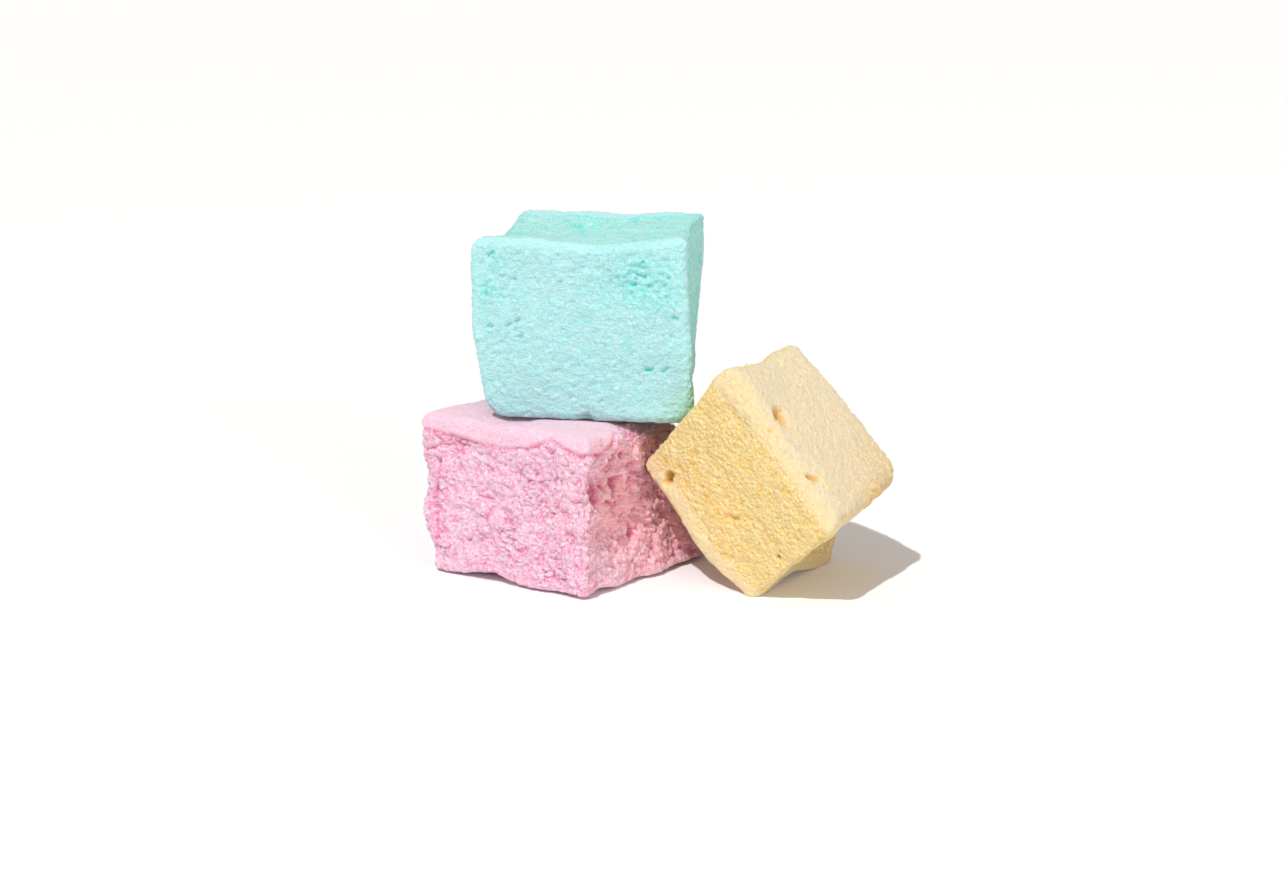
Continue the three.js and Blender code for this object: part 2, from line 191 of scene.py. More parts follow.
class Mint:
    """The stacked marshmallow, with its skins at the front and the back."""

    name = "marshmallow_mint"
    slot = "mint_marshmallow"
    at = (7.4, 10.1, 45.2)
    turn = (90.6, -1.3, -9.4)
    turn_order = "ZYX"
    lower = [(-18.4, -16.9, -17.1), (14.8, -17.2, -17), (17.4, 17.2, -16.5), (-19.2, 17.2, -17)]
    upper = [(-19.1, -16.8, 16.6), (20, -17.5, 16.7), (19, 16.8, 17), (-21.2, 17.1, 17.3)]
    corners = (4.6, 4.2, 1.8, 3)
    rims = (1.8, 2)
    waist = (3, 1.8, 0.6, 2)
    lower_lip = (3.4, 1, 0.2)
    upper_lip = (3.6, 0.8, 0.2)
    lower_folds = []
    upper_folds = []
    lip_width = 1.4
    rim_grain = 0
    hem = 0
    crags = 0.35
    rugged = [(19, 5, 0, 16, 0.6)]
    ripple = 0.35
    seed = 23
    dents = [
        (-2.8, 17, -7.8, 1.2, 2.2),
        (8.5, 9, 17, 0.6, 4.5),
        (-0.9, -16.8, 16.6, 1.5, 1.3),
        (16.6, 17, -15.8, 1.1, 1.3),
        (13.5, 17, -16.8, 0.7, 1.1),
        (-17.5, 17, -16.5, 0.6, 1),
    ]
    # Painted yellow-green bounce light from the yellow marshmallow, at the front lower right
    # corner.
    flush = [(18, -16, 14, 5, 0.5)]
    pulls = [
        (-19.5, -2, 17, 11, -1.1, 0, 0),
        (3, 17, 17, 8, 0, -1.3, 0),
        (-19, 17, 5, 9, 1.1, -0.4, 0),
        (5, 17, -17, 9, 0, -0.9, 0),
        (17, 7, -17, 7, 0.5, 0, 0),
    ]
    crumbs = [(2.2, 0.06), (1.1, 0.05), (0.7, 0.03)]
    cracks = []
    bend = 0.9
    grain = [(2.2, 0.05), (0.65, 0.14)]
    wrinkles = (0.16, 40, 0.5, 1.0)
    pits = (1.1, 0.14, 0.0)
    pores = (10, 0.25, 0.45, 0.4)
    bead = 0.04
    holes = [
        (-3.3, 17, -7.6, 0.4, 1.5, 1, 0, 0),
        (10.8, -7.1, 17, 0.6, 0.42, 0.4, 0.1, 0),
        (13.9, -6.8, 17, 0.45, 0.34, 0.5, 0.3, 0),
        (15.8, 2.5, 17, 0.38, 0.34, 0.3, -0.2, 0),
        (7.3, -9.1, 17, 0.3, 0.32, 0, 0, 0),
        (-10.7, 1.7, 17, 0.41, 0.34, 0.25, 0.15, 0),
        (-11.9, 0.8, 17, 0.38, 0.32, 0.2, 0.1, 0),
        (-15.1, 0.4, 17, 0.45, 0.38, 0.2, 0, 0),
        (-10.3, -1.3, 17, 0.34, 0.32, 0.2, 0.1, 0),
        (-14.6, 13.9, 17, 0.45, 0.34, 0.4, 0.2, 0),
        (-11.1, 9.1, 17, 0.38, 0.32, 0, 0, 0),
        (-3.2, 9.1, 17, 0.34, 0.31, 0, 0, 0),
        (0, 7.9, 17, 0.34, 0.31, 0, 0, 0),
        (9, 8.7, 17, 0.45, 0.34, 0.3, 0, 0),
        (10.6, 10.4, 17, 0.45, 0.34, 0.4, -0.2, 0),
        (-15.6, 7.1, 17, 0.22, 0.51, 0.2, 0.6, 0),
    ]
    grooves = [
        ((18.4, 14, -7), (18.2, -12, -5), 0.7, 1.0),
        ((18.6, 15, 8), (18.2, -9, 9.5), 0.4, 0.6),
        ((-7, 17, 12), (14, 17, 12.5), 0.5, 1.6),
    ]
    tears = [(17, 17, -16.5, 3.4, 1), (-18.5, 17, -16.5, 2.6, 1)]
    worn = [
        (9, 10.5, 17, 5.5, 1.2),
        (13, 7, 17, 4, 0.9),
        (-15, 7, 17, 2.5, 1),
        (-14, 12, 17, 2.5, 0.6),
    ]


class Yellow:
    """The leaning marshmallow, on one edge, with its skins at the upper right and lower left."""

    name = "marshmallow_yellow"
    slot = "yellow_marshmallow"
    at = (38.9, -8.1, 19.4)
    turn = (1.1, 43.4, -32.9)
    turn_order = "ZXY"
    lower = [(-15.6, -13.5, -12.8), (17.2, -14.8, -12.1), (18, 15.8, -12.5), (-18, 16, -12.8)]
    upper = [(-17.3, -13.8, 15.4), (19.3, -16.6, 12), (15, 14.5, 13), (-18.3, 15.5, 12.6)]
    corners = (2.2, 2.2, 4.6, 2.6)
    rims = (1, 4)
    waist = (1, 2.2, 0.4, 1)
    lower_lip = (1.8, 0.4, 0.15)
    upper_lip = (1.2, 0.4, 0)
    lower_folds = []
    upper_folds = [(-15, -13, 2, 9)]
    lip_width = 2.0
    rim_grain = 1.0
    hem = 0
    crags = 0.35
    rugged = []
    ripple = 0.3
    seed = 37
    dents = [
        (-4.6, -9, 12.6, 0.5, 2.2),
        (8, -11.8, 12.4, 0.5, 2),
        (-11, -14.9, -10, 0.6, 1.6),
    ]
    # Painted shade, darker and more orange, on the foot at the back of the lower edge.
    flush = [(17, 10, 0, 13, 1)]
    pulls = [
        (4, -14, -12, 9, 0, 0, -1.9),
        (17.5, -2, -12, 8, -1.6, 0, 2.2),
        (17, 13, -1, 7.5, -3.3, 0, 0),
        (-17, 3, -12.5, 8, -0.9, 0, -0.8),
        (-3, 14, 12, 10, 0, 1.2, 0),
        (-18, 1, 12, 6, 0.9, 0, -0.9),
    ]
    crumbs = [(2.0, 0.08), (1.1, 0.1), (0.7, 0.18)]
    cracks = [(2.6, 0.1, 0.14, 0.35)]
    bend = 0.4
    grain = [(1.6, 0.05), (0.65, 0.14)]
    wrinkles = None
    pits = (1.0, 0.14, 0.1)
    pores = (5, 0.2, 0.35, 0.35)
    bead = 0.0
    holes = [
        (-4.9, -8.9, 12.5, 2.1, 1.3, 0, 0.6, 0),
        (-3.8, -9.2, 12.5, 1.3, 1.0, 0.3, 0, 0),
        (7.1, -11.8, 12.4, 1, 0.5, 0.7, 1, 0),
        (-11.4, -14.9, -10.3, 1.6, 0.7, -0.3, 0, 0.5),
        (-3.4, -14, 12.2, 0.35, 0.4, 0.3, 0.4, 0),
        (0, -10.9, 12.5, 0.4, 0.35, 0.2, 0.3, 0),
        (-6.3, 4, 12.5, 0.4, 0.3, 0.3, 0, 0),
        (-4.6, 2.6, 12.5, 0.3, 0.25, 0.2, 0, 0),
        (3.4, -5.8, 12.5, 0.25, 0.25, 0, 0, 0),
        (8.3, 13, 12.5, 0.5, 0.4, 0.5, 0, 0),
        (13.6, -14.9, -1.5, 0.8, 0.45, 0, 0, 0),
        (2.5, -15, -4, 0.5, 0.35, 0.9, 0, 0.9),
    ]
    grooves = []
    tears = []
    worn = [(15.3, 3.3, 12.5, 2, 1)]


def smoothstep(low, high, x):
    """0 at low, 1 at high, smooth between them and held outside them."""
    t = np.clip((x - low) / (high - low), 0, 1)
    return t * t * (3 - 2 * t)


def bell(distance, spread):
    """1 at no distance, falling off smoothly over the spread."""
    return np.exp(-((distance / spread) ** 2))


def cell_value(cell, seed):
    """A repeatable number from 0 to 1 for each cell of a whole-number grid."""
    x, y, z = (cell[..., i].astype(np.int64).astype(np.uint32) for i in range(3))
    mixed_seed = np.uint32(seed * 0x27D4EB2F & 0xFFFFFFFF)
    h = x * np.uint32(0x9E3779B1) ^ y * np.uint32(0x85EBCA77) ^ z * np.uint32(0xC2B2AE3D)
    h = (h ^ mixed_seed ^ (h >> 15)) * np.uint32(0x2C1B3C6D)
    h = (h ^ (h >> 12)) * np.uint32(0x297A2D39)
    return (h ^ (h >> 15)) / 2**32


def soft_noise(points, size, seed):
    """Smooth noise from -1 to 1 with bumps about one size across."""
    q = points / size
    cell = np.floor(q)
    f = smoothstep(0, 1, q - cell)
    total = 0
    for corner in np.ndindex(2, 2, 2):
        weight = np.prod(np.where(corner, f, 1 - f), axis=-1)
        total += weight * cell_value(cell + corner, seed)
    return 2 * total - 1


def domes(points, size, seed):
    """Domes about one size across that meet in creases: how high each point is on its dome, 1 at
    the top, and how far it is from the crease, 0 in it."""
    q = points / size
    cell = np.floor(q)
    first = np.full(len(q), np.inf)
    second = np.full(len(q), np.inf)
    for step in np.ndindex(3, 3, 3):
        near = cell + step - 1
        centre = near + np.stack([cell_value(near, seed + i) for i in range(3)], -1)
        far = ((centre - q) ** 2).sum(-1)
        second = np.minimum(second, np.maximum(first, far))
        first = np.minimum(first, far)
    return 1 - 2.4 * first, np.sqrt(second) - np.sqrt(first)


def rounded(sharp, half, block):
    """Rounds the sharp block: first its four upright edges, in plan, and then its rims. Returns
    the points, their outward normals, and how much each faces sideways, from 0 to 1."""
    x, y, z = sharp.T
    quadrant = np.where(y < 0, np.where(x < 0, 0, 1), np.where(x < 0, 3, 2))
    radius = np.array(block.corners, float)[quadrant]
    core_x = np.clip(x, radius - half[0], half[0] - radius)
    core_y = np.clip(y, radius - half[1], half[1] - radius)
    core = np.stack([core_x, core_y], -1)
    out = sharp[:, :2] - core
    ring = np.abs(out).max(-1)
    in_ring = ring > 1e-9
    length = np.where(in_ring, np.hypot(*out.T), 1)
    side = out / length[:, None]
    plan = core + side * ring[:, None]

    from_x = half[0] - np.abs(plan[:, 0])
    from_y = half[1] - np.abs(plan[:, 1])
    facing_x = np.stack([np.sign(plan[:, 0]), np.zeros(len(plan))], -1)
    facing_y = np.stack([np.zeros(len(plan)), np.sign(plan[:, 1])], -1)
    nearest = np.where((from_x < from_y)[:, None], facing_x, facing_y)
    side = np.where(in_ring[:, None], side, nearest)
    inset = np.where(in_ring, radius - ring, np.minimum(from_x, from_y))

    up = np.where(z < 0, -1.0, 1.0)
    rim = np.where(up > 0, block.rims[1], block.rims[0])
    across = np.maximum(rim - inset, 0) / rim
    along = np.maximum(rim - (half[2] - np.abs(z)), 0) / rim
    reach = np.maximum(np.hypot(across, along), 1e-9)
    on_rim = (across > 0) & (along > 0)
    sideways = np.where(on_rim, across / reach, across)
    upwards = np.where(on_rim, along / reach, along)
    plan = plan + side * (rim * (sideways - across) * on_rim)[:, None]
    height = z + up * rim * (upwards - along) * on_rim
    flat = np.where(on_rim, sideways, np.where(along > 0, 0.0, 1.0))
    steep = np.where(on_rim, upwards, np.where(along > 0, 1.0, 0.0))
    normal = np.column_stack([side * flat[:, None], up * steep])
    return np.column_stack([plan, height]), normal, sideways


def lip_reach(p, lip, folds, seed):
    """How far below its skin's plane the lip of a skin ends, at each place on the wall."""
    reach = lip[0] + lip[1] * soft_noise(p, LIP_WAVE, seed)
    for x, y, more, spread in folds:
        reach += more * bell(np.hypot(p[:, 0] - x, p[:, 1] - y), spread)
    return reach


def stretched(p, angle, across, along):
    """Points on a skin's plane, turned by the angle and scaled so that unit noise has bumps one
    across wide and one along long."""
    c, s = math.cos(math.radians(angle)), math.sin(math.radians(angle))
    lengthwise = p[:, 0] * c + p[:, 1] * s
    crosswise = p[:, 1] * c - p[:, 0] * s
    return np.column_stack([lengthwise / along, crosswise / across, p[:, 2] / across])


def pore_places(half, block):
    """Seeded places for the pores of both skins: x, y, z, depth and spread of each."""
    count, smallest, largest, depth = block.pores
    random = np.random.default_rng(block.seed)
    for side in (-1, 1):
        for _ in range(count):
            x, y = random.uniform(-PORE_MARGIN, PORE_MARGIN, 2) * half[:2]
            size = random.uniform(smallest, largest)
            yield (x, y, side * half[2], depth * size / largest, size, 0, 0, 0)


def near_line(p, start, end):
    """Distance of each point from a straight line between two ends."""
    start, end = np.array(start, float), np.array(end, float)
    along = end - start
    share = np.clip((p - start) @ along / (along @ along), 0, 1)
    return np.linalg.norm(p - start - share[:, None] * along, axis=-1)


def hole_shape(p, hole):
    """How far into a steep-sided hole each point lies, from 0 to 1. The hole is moved onto the
    surface first."""
    drawn = np.array(hole[5:], float)
    middle = p[np.argmin(np.linalg.norm(p - hole[:3], axis=-1))]
    if drawn.any():
        far = near_line(p, middle - drawn, middle + drawn)
    else:
        far = np.linalg.norm(p - middle, axis=-1)
    return np.exp(-((far / hole[4]) ** 4))


def spots(p, places):
    """The sum of soft round spots: x, y, z, spread and strength of each."""
    total = np.zeros(len(p))
    for x, y, z, spread, strength in places:
        total += strength * bell(np.linalg.norm(p - (x, y, z), axis=-1), spread)
    return total


class Relief:
    """The height of a marshmallow's surface above its rounded block, and the masks that the
    finish uses: where the wall is cut, where a skin turns over its rim, how much painted shade
    each point gets in a crease, pit, groove or hole (with a darker tone on worn skin), and how
    much of the darkest painted shade it gets in a hollow. Scale is the strength of the fine
    relief."""

    def __init__(self, p, normal, sideways, half, block, scale):
        self.p = p
        self.half = half
        self.block = block
        self.scale = scale
        self.warp = np.stack([self.noise(STRAY, 60 + i) for i in range(3)], -1)
        self.bent = p + block.bend * self.warp
        self.below = p[:, 2] < 0
        self.rugged = 1 + spots(p, block.rugged)
        self.hollow_shade = 0
        self.cut_walls(sideways)
        self.bow_walls(normal, sideways)
        self.raise_crags()
        self.roll_lips(sideways)
        self.scatter_crumbs()
        self.open_cracks()
        self.roughen_skins()
        self.prick_pits()
        self.sink_holes()

    def noise(self, size, key):
        """Noise of the block's own. The key keeps it apart from the block's other patterns."""
        return soft_noise(self.p, size, self.block.seed + key)

    def masks(self):
        """The masks by the names that the finish knows them by."""
        return {"cut": self.cut, "crease_shade_and_tone": self.crease_shade_and_tone, "hollow_shade": self.hollow_shade, "rim": self.rim}

    def cut_walls(self, sideways):
        """How far below a lip each point is, and where the wall is cut."""
        p, half, block = self.p, self.half, self.block
        fringe = 0.35 * self.noise(FRAY[0], 51) + 0.2 * self.noise(FRAY[1], 52)
        upper = lip_reach(p, block.upper_lip, block.upper_folds, block.seed)
        lower = lip_reach(p, block.lower_lip, block.lower_folds, block.seed + 5)
        below_upper = half[2] - p[:, 2] - upper
        above_lower = half[2] + p[:, 2] - lower
        self.from_lip = np.minimum(below_upper, above_lower) + fringe
        torn = smoothstep(0.4, 0.6, spots(p, block.tears) + 0.25 * self.noise(FRAY[0], 53))
        cut = np.maximum(sideways * smoothstep(0, block.lip_width, self.from_lip), torn)
        self.cut = np.maximum(cut, block.hem * sideways * self.below)

    def bow_walls(self, normal, sideways):
        """The walls bow in between the skins, and lie a step lower than the lips."""
        p, half, block = self.p, self.half, self.block
        left, right, front, back = block.waist
        nx, ny = normal[:, 0], normal[:, 1]
        bow = nx**2 * np.where(nx < 0, left, right) + ny**2 * np.where(ny < 0, front, back)
        step = np.where(p[:, 2] > 0, block.upper_lip[2], block.lower_lip[2])
        middling = 1 - (p[:, 2] / half[2]) ** 2
        edging = EDGE_STIFFNESS * (p[:, 0] / half[0]) ** 4 * (p[:, 1] / half[1]) ** 4
        self.height = -self.cut * step - sideways * bow * middling * (1 - edging)

    def raise_crags(self):
        """Crags on the walls and ripples on the skins."""
        block = self.block
        craggy = domes(self.p, CRAG[0], block.seed + 10)[0]
        crag = 0.7 * craggy + 0.3 * self.noise(CRAG[1], 20)
        ripple = 0.6 * self.noise(RIPPLE[0], 30) + 0.5 * self.noise(RIPPLE[1], 40)
        self.height += block.crags * self.rugged * self.cut * crag
        self.height += block.ripple * (1 - self.cut) * ripple

    def roll_lips(self, sideways):
        """A rolled bead along each lip, and a groove under it."""
        bead_height = self.block.bead
        lipped = sideways * (1 - self.block.hem * self.below)
        grooved = lipped * bell(self.from_lip - BEAD_GROOVE[0], BEAD_GROOVE[1])
        bead = lipped * bell(self.from_lip - BEAD[0], BEAD[1]) * bead_height
        self.height += self.scale * (bead - grooved * 2 * bead_height)
        # Painted shade in the groove under the bead.
        self.crease_shade_and_tone = 0.8 * grooved * (bead_height > 0)

    def scatter_crumbs(self):
        """Crumbs on the cut walls, in several sizes."""
        for i, (size, high) in enumerate(self.block.crumbs):
            dome, _ = domes(self.bent, size, self.block.seed + 70 + 5 * i)
            self.height += self.scale * self.rugged * self.cut * high * dome
            # Painted shade in the creases between crumbs.
            self.crease_shade_and_tone += self.cut * 0.4 * smoothstep(-0.1, -0.9, dome)
            # Painted shade, in the darkest colour, in the hollows between crumbs where the wall
            # is rugged.
            rugged_hollow_shade = 0.5 * (self.rugged - 1) * self.cut
            self.hollow_shade += rugged_hollow_shade * smoothstep(-0.1, -1, dome)

    def open_cracks(self):
        """Cracks between the crumbs, in some areas of the walls."""
        for i, (size, deep, width, least) in enumerate(self.block.cracks):
            _, apart = domes(self.bent, size, self.block.seed + 90 + 5 * i)
            open_here = smoothstep(least, least + 0.5, self.noise(CRACKED, 100 + i))
            crack = open_here * (1 - smoothstep(0, width, apart))
            self.height -= self.scale * self.cut * deep * crack
            # Painted shade inside the cracks.
            self.crease_shade_and_tone += self.cut * 0.85 * crack

    def roughen_skins(self):
        """Grain and wrinkles on the skins, and pitting where they are worn."""
        p, half, block, seed = self.p, self.half, self.block, self.block.seed
        inset = np.minimum(half[0] - np.abs(p[:, 0]), half[1] - np.abs(p[:, 1]))
        self.rim = (1 - self.cut) * smoothstep(*RIM_FADE, inset + 0.7 * self.noise(RIM_WAVE, 140))
        skin = (1 - self.cut) * (1 + block.rim_grain * self.rim * (p[:, 2] > 0))
        worn = np.clip(spots(p, block.worn), 0, MOST_WORN)
        for i, (size, high) in enumerate(block.grain):
            grainy = self.noise(size, 110 + i)
            self.height += self.scale * skin * high * (1 + worn) * grainy
        if block.wrinkles:
            fold, angle, across, along = block.wrinkles
            wide = stretched(p + 0.5 * self.warp, angle, across, along)
            narrow = stretched(p, angle - 12, across / 2, along / 3)
            lines = soft_noise(wide, 1, seed + 120)
            finer = soft_noise(narrow, 1, seed + 121)
            self.height += self.scale * skin * fold * (0.7 * lines + 0.4 * finer)
        pitted = domes(self.bent, WORN_PITS, seed + 130)[0]
        self.height += self.scale * worn * skin * 0.15 * pitted
        # A darker tone on worn skin, and painted shade in its pits.
        self.crease_shade_and_tone += worn * skin * (0.3 + 0.15 * smoothstep(0, -0.8, pitted))

    def prick_pits(self):
        """Small pits all over, in some areas."""
        size, deep, least = self.block.pits
        open_here = smoothstep(least, least + 0.4, self.noise(PITTED, 135))
        pitted = domes(self.p + 0.4 * self.warp, size, self.block.seed + 136)[0]
        pit = open_here * smoothstep(0.7, 0.95, pitted)
        self.height -= self.scale * deep * pit
        # Painted shade in the pits.
        self.crease_shade_and_tone += 0.35 * pit

    def sink_holes(self):
        """Dents, grooves, holes and pores."""
        p, block = self.p, self.block
        for x, y, z, depth, spread in block.dents:
            dent = bell(np.linalg.norm(p - (x, y, z), axis=-1), spread)
            self.height -= depth * dent
        for start, end, depth, width in block.grooves:
            line = bell(near_line(p + 0.3 * self.warp, start, end), width)
            self.height -= depth * line
            # Painted shade inside the narrow grooves.
            self.crease_shade_and_tone += 0.8 * line * (width < HAIRLINE)
        for hole in [*block.holes, *pore_places(self.half, block)]:
            depth = hole[3]
            inside = hole_shape(p + 0.2 * self.warp, hole)
            self.height -= depth * inside
            # Painted shade inside holes and pores.
            self.crease_shade_and_tone += min(1.0, 0.4 + 0.5 * depth) * inside
            # Painted shade, in the darkest colour, in the deepest holes.
            self.hollow_shade += np.clip(depth - 0.5, 0, 0.8) * inside


def slumped(p, half, block):
    """Carries the regular block to the uneven one, whose corners are the skins' corners."""
    u, v, w = ((p / half + 1) / 2).T
    weights = [(1 - u) * (1 - v), u * (1 - v), u * v, (1 - u) * v]
    moved = 0
    for weight, low, high in zip(weights, block.lower, block.upper):
        moved += (weight * (1 - w))[:, None] * np.array(low, float)
        moved += (weight * w)[:, None] * np.array(high, float)
    return moved


def placing(block):
    """The rotation that turns the block's own axes into the table's."""
    turns = dict(zip("XYZ", (math.radians(a) for a in block.turn)))
    rotation = np.eye(3)
    for axis in block.turn_order:
        angles = [turns[axis] if axis == name else 0 for name in "XYZ"]
        rotation = rotation @ np.array(Euler(angles).to_matrix())
    return rotation


def keep_off(points, plane, sense, clear, ease):
    """Moves the points that are under a plane's surface out to it, with clear to spare. Ease is
    how far each point may stay under it all the same."""
    at, normal = (np.array(v, float) for v in plane)
    normal = sense * normal / np.linalg.norm(normal)
    offset = (points - at) @ normal
    push = np.maximum(clear - ease - offset, 0)
    return points + push[:, None] * normal


def grid_block(cells):
    """The points of a cube from -1 to 1 with a grid on each face, and its quads."""
    line = np.arange(cells + 1)
    a, b = (g.ravel() for g in np.meshgrid(line, line, indexing="ij"))
    low, high = np.zeros_like(a), np.full_like(a, cells)
    faces = [(low, b, a), (high, a, b), (a, low, b), (b, high, a), (b, a, low), (a, b, high)]
    keys = [(x * (cells + 1) + y) * (cells + 1) + z for x, y, z in faces]
    places, index = np.unique(np.concatenate(keys), return_inverse=True)
    index = index.reshape(6, cells + 1, cells + 1)
    quads = np.stack(
        [index[:, :-1, :-1], index[:, 1:, :-1], index[:, 1:, 1:], index[:, :-1, 1:]], -1
    ).reshape(-1, 4)
    x, rest = np.divmod(places, (cells + 1) ** 2)
    y, z = np.divmod(rest, cells + 1)
    return np.column_stack([x, y, z]) / cells * 2 - 1, quads


def half_size(block):
    """Half the length, width and thickness of a block, as the mean of its corners."""
    return np.abs(np.array([*block.lower, *block.upper], float)).mean(0)


def block_points(block, rests, cells, scale):
    """One marshmallow's points on the table, its quads, its masks and the places on its block."""
    half = half_size(block)
    cube, quads = grid_block(cells)
    crowded = (1 - EDGE_CROWDING) * cube + EDGE_CROWDING * np.sin(np.pi / 2 * cube)
    smooth, normal, sideways = rounded(crowded * half, half, block)
    relief = Relief(smooth, normal, sideways, half, block, scale)
    raised = smooth + normal * relief.height[:, None]
    moved = slumped(raised, half, block)
    for x, y, z, spread, *move in block.pulls:
        grip = bell(np.linalg.norm(raised - (x, y, z), axis=-1), spread)
        moved = moved + grip[:, None] * np.array(move, float)
    moved = moved @ placing(block).T + block.at
    for plane, sense, clear, ease in rests:
        moved = keep_off(moved, plane, sense, clear, ease(moved))
    masks = {**relief.masks(), "flush": spots(smooth, block.flush)}
    return moved, quads, masks, smooth


# The rests: each marshmallow is pressed flat against its neighbour's plane where the neighbour
# is, and less and less further off, so that its own form isn't cut off there.

FREE = 99  # far enough under a plane for a point not to be moved
MINT_FOOT = (15.5, 15)  # half the width and depth of the mint marshmallow's foot
SEAT_EASE = 8  # how gently the pink skin rises again outside that foot
SEATED = 20  # only points higher than this are pressed by the mint marshmallow
YELLOW_EDGE = (22, 2)  # height of the yellow marshmallow's edge, and how far it reaches
YELLOW_FRONT = -4  # how far to the front its edge reaches
LEAN_EASE = 3  # how gently the pink wall rises again outside that edge
LEANT_ON = 8  # only points further right than this are pressed by the yellow marshmallow


def everywhere(p):
    """No ease: the whole marshmallow stays on its side of the plane."""
    return np.zeros(len(p))


def under_mint(p):
    """No ease under the mint marshmallow, and more the further a point is from its foot."""
    turned = math.radians(-Mint.turn[2])
    c, s = math.cos(turned), math.sin(turned)
    x, y = p[:, 0] - Mint.at[0], p[:, 1] - Mint.at[1]
    aside = np.maximum(np.abs(x * c - y * s) - MINT_FOOT[0], 0)
    ahead = np.maximum(np.abs(x * s + y * c) - MINT_FOOT[1], 0)
    away = np.hypot(aside, ahead)
    return np.where(p[:, 2] > SEATED, away**2 / SEAT_EASE, FREE)


def beside_yellow(p):
    """No ease beside the yellow marshmallow's edge, and more the further a point is from it."""
    height, reach = YELLOW_EDGE
    above = np.maximum(np.abs(p[:, 2] - height) - reach, 0)
    before = np.maximum(YELLOW_FRONT - p[:, 1], 0)
    return np.where(p[:, 0] > LEANT_ON, (above**2 + before**2) / LEAN_EASE, FREE)


# For each plane: the plane, which side of it is free, the gap to it, and the ease.
PINK_RESTS = [
    (TABLE, 1, 0, everywhere),
    (SEAT, -1, GAP / 2, under_mint),
    (LEAN, -1, GAP / 2, beside_yellow),
]
MINT_RESTS = [(SEAT, 1, GAP / 2, everywhere)]
YELLOW_RESTS = [(TABLE, 1, 0, everywhere), (LEAN, 1, GAP / 2, everywhere)]

# ------------------------------------------------------------------------------- materials

# Sizes of the patterns in the foam's colour and finest grain.
BROAD_PATCHES = 7.0
SMALL_PATCHES = 1.6
FINE_GRAIN = 0.42
FINE_PITS = 0.62
CRYSTALS = 0.3
WHITE = (1.0, 1.0, 1.0)


class Signal:
    """A number in a material, on which Python's operators build Math nodes."""

    def __init__(self, graph, socket):
        self.graph = graph
        self.socket = socket

    def maths(self, operation, *values, clamp=False):
        """The result of a Math node with these values or links."""
        sockets = dict(enumerate(values))
        settings = {"operation": operation, "use_clamp": clamp}
        node = self.graph.node("ShaderNodeMath", settings, sockets)
        return Signal(self.graph, node.outputs[0])

    def __add__(self, other):
        return self.maths("ADD", self, other)

    __radd__ = __add__

    def __sub__(self, other):
        return self.maths("SUBTRACT", self, other)

    def __rsub__(self, other):
        return self.maths("SUBTRACT", other, self)

    def __mul__(self, other):
        return self.maths("MULTIPLY", self, other)

    def held(self):
        """The number kept between 0 and 1."""
        return self.maths("ADD", self, 0.0, clamp=True)

    def ramped(self, low, high):
        """0 at low, 1 at high, smooth between them and held outside them."""
        node = self.graph.node(
            "ShaderNodeMapRange",
            {"interpolation_type": "SMOOTHSTEP"},
            {"Value": self, "From Min": low, "From Max": high},
        )
        return Signal(self.graph, node.outputs[0])


class Graph:
    """One material's nodes."""

    def __init__(self, name):
        self.material = bpy.data.materials.new(name)
        self.material.use_nodes = True
        self.tree = self.material.node_tree
        self.tree.nodes.clear()

    def node(self, kind, settings=None, sockets=None):
        """Adds a node, sets its settings first and then its sockets' values or links."""
        node = self.tree.nodes.new(kind)
        for key, value in (settings or {}).items():
            setattr(node, key, value)
        for key, value in (sockets or {}).items():
            if isinstance(key, int):
                socket = node.inputs[key]
            else:
                socket = next(s for s in node.inputs if s.name == key and s.enabled)
            if isinstance(value, Signal):
                self.tree.links.new(value.socket, socket)
            elif isinstance(value, bpy.types.NodeSocket):
                self.tree.links.new(value, socket)
            else:
                socket.default_value = value
        return node

    def attribute(self, name, output="Fac"):
        """One of the values that are stored in the mesh."""
        node = self.node("ShaderNodeAttribute", {"attribute_name": name})
        if output == "Fac":
            return Signal(self, node.outputs["Fac"])
        return node.outputs[output]

    def noise(self, place, size, detail=2.0, roughness=0.5):
        """Noise from 0 to 1 with bumps about one size across."""
        sockets = {"Vector": place, "Scale": 1 / size, "Detail": detail, "Roughness": roughness}
        return Signal(self, self.node("ShaderNodeTexNoise", None, sockets).outputs[0])

    def cells(self, place, size):
        """The outputs of a pattern of cells about one size across."""
        sockets = {"Vector": place, "Scale": 1 / size}
        return self.node("ShaderNodeTexVoronoi", None, sockets).outputs

    def blend(self, factor, first, second):
        """The first colour where the factor is 0 and the second where it is 1."""
        node = self.node(
            "ShaderNodeMix",
            {"data_type": "RGBA", "clamp_factor": True},
            {"Factor": factor, "A": first, "B": second},
        )
        return next(s for s in node.outputs if s.enabled)


def opaque(colour):
    """The colour with its alpha."""
    return (*colour, 1.0)


